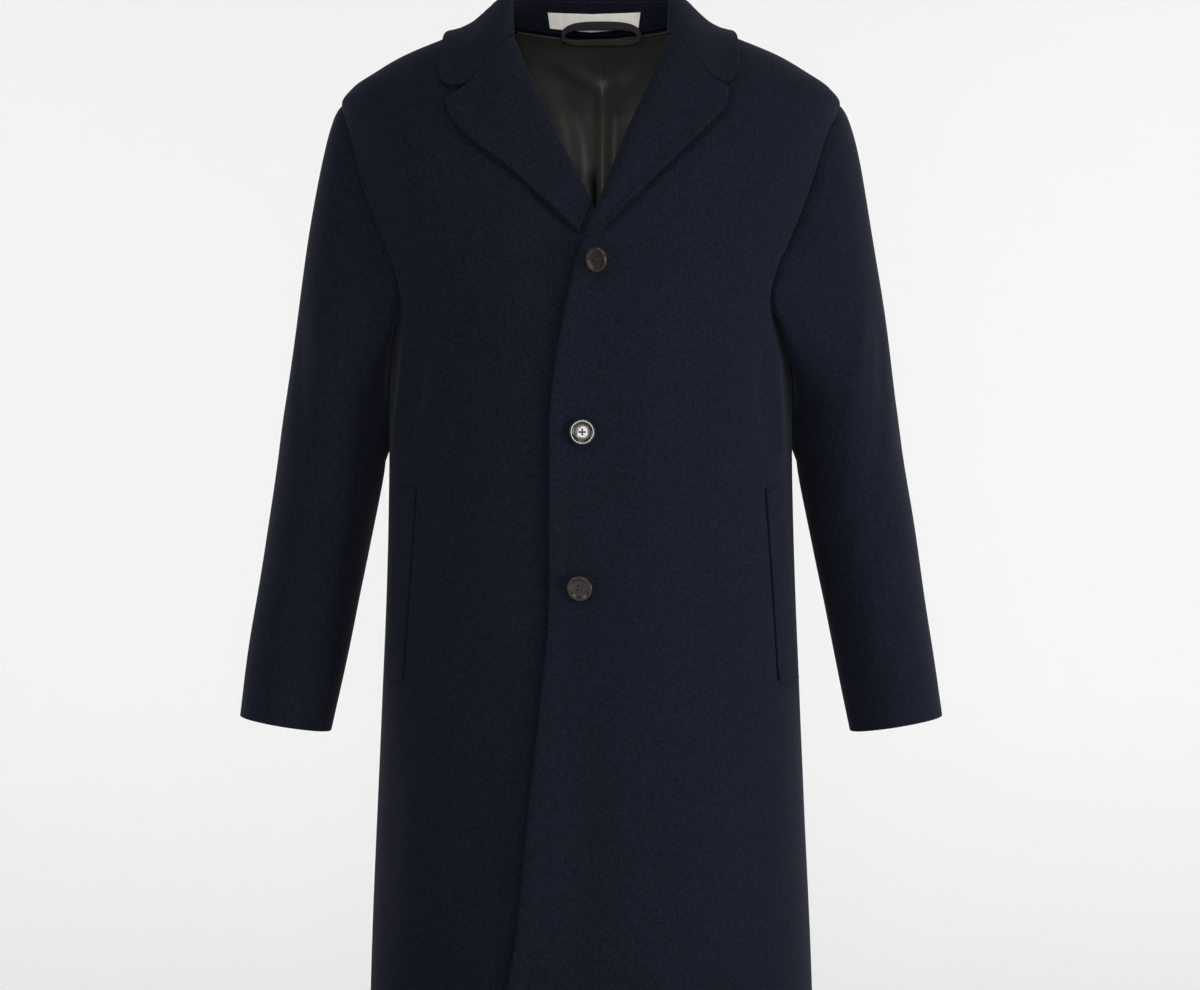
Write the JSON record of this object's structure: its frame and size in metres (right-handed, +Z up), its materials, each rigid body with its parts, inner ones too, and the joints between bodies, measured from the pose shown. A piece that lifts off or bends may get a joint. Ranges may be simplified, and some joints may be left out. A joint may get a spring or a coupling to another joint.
{
  "type": "wool overcoat",
  "caption": "Men's single-breasted navy wool overcoat, knee length, notch lapels, three buttons, slanted welt pockets, filled out as worn.",
  "frame": {"origin": "on the coat's centre plane, level with the side of the neck, where the wearer's shoulders carry it", "axes": "+Z up, -Y out of the fronts, +X towards the wearer's left"},
  "size_m": [0.7178, 0.3139, 1.0479],
  "materials": {
    "melton": "felted wool melton, matte with a short nap",
    "satin": "satin lining, olive grey, soft sheen",
    "horn": "glossy dark brown horn look",
    "woven_label": "off-white woven tape"
  },
  "bodies": {
    "root": {"front_left": "melton", "front_right": "melton", "back_left": "melton", "back_right": "melton", "sleeve_left_top": "melton", "sleeve_left_under": "melton", "sleeve_right_top": "melton", "sleeve_right_under": "melton", "lapel_left": "melton", "lapel_right": "melton", "collar_fall": "melton", "collar_stand": "melton", "lining_back": "satin", "neck_label": "woven_label", "hanger_loop": "satin", "pocket_welt_left": "melton", "pocket_welt_right": "melton", "button_top": "horn", "button_middle": "horn", "button_bottom": "horn"}
  },
  "joints": []
}
